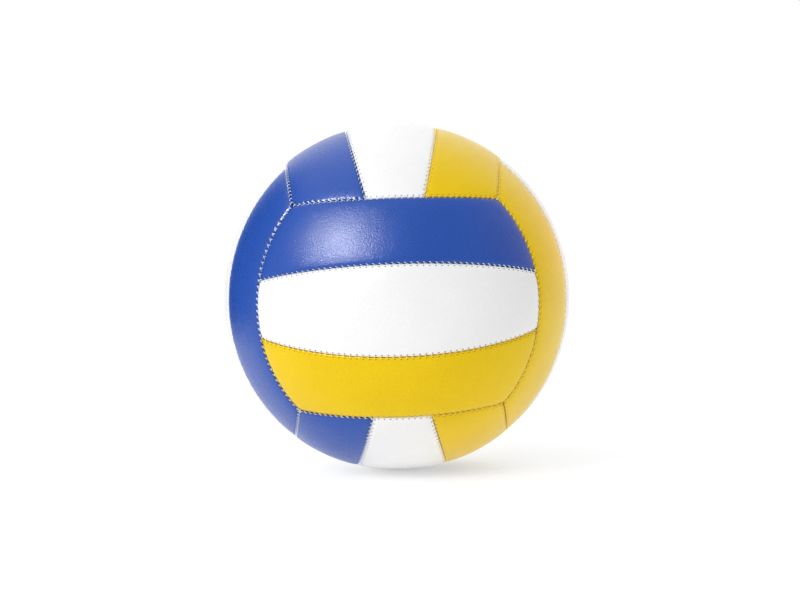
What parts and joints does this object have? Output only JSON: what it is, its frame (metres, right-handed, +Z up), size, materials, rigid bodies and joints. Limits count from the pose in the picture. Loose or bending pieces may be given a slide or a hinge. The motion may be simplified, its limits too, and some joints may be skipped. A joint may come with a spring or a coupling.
{
  "type": "volleyball",
  "caption": "Inflated indoor volleyball: stitched synthetic leather strips with rolled edges over foam pads, a rubber bladder and a self-sealing needle valve.",
  "frame": {"origin": "centre of the ball", "axes": "+Z up through the middle of the top face, -Y through the middle of the front face that the picture looks at, +Y out through the valve in the middle of the rear face"},
  "size_m": [0.21, 0.21, 0.21],
  "materials": {
    "blue_leather": "pebbled blue synthetic leather, satin",
    "white_leather": "pebbled white synthetic leather, satin",
    "yellow_leather": "pebbled yellow synthetic leather, satin",
    "foam": "closed-cell foam with a cloth backing, matt",
    "thread": "white bonded polyester sewing thread",
    "bladder_rubber": "black butyl rubber, matt",
    "valve_rubber": "off-white moulded rubber, matt"
  },
  "bodies": {
    "root": {"front_upper_cover": "blue_leather", "front_middle_cover": "white_leather", "front_lower_cover": "yellow_leather", "rear_upper_cover": "blue_leather", "rear_middle_cover": "white_leather", "rear_lower_cover": "yellow_leather", "top_left_cover": "blue_leather", "top_middle_cover": "white_leather", "top_right_cover": "yellow_leather", "bottom_left_cover": "blue_leather", "bottom_middle_cover": "white_leather", "bottom_right_cover": "yellow_leather", "left_front_cover": "blue_leather", "left_middle_cover": "white_leather", "left_rear_cover": "yellow_leather", "right_front_cover": "yellow_leather", "right_middle_cover": "white_leather", "right_rear_cover": "blue_leather", "front_upper_pad": "foam", "front_middle_pad": "foam", "front_lower_pad": "foam", "rear_upper_pad": "foam", "rear_middle_pad": "foam", "rear_lower_pad": "foam", "top_left_pad": "foam", "top_middle_pad": "foam", "top_right_pad": "foam", "bottom_left_pad": "foam", "bottom_middle_pad": "foam", "bottom_right_pad": "foam", "left_front_pad": "foam", "left_middle_pad": "foam", "left_rear_pad": "foam", "right_front_pad": "foam", "right_middle_pad": "foam", "right_rear_pad": "foam", "front_strip_thread": "thread", "front_edge_thread": "thread", "rear_strip_thread": "thread", "rear_edge_thread": "thread", "top_strip_thread": "thread", "top_edge_thread": "thread", "bottom_strip_thread": "thread", "bottom_edge_thread": "thread", "left_strip_thread": "thread", "left_edge_thread": "thread", "right_strip_thread": "thread", "right_edge_thread": "thread", "bladder": "bladder_rubber", "bladder_patch": "bladder_rubber", "valve_stem": "valve_rubber", "valve_core": "valve_rubber", "valve_seat_ring": "foam"}
  },
  "joints": []
}
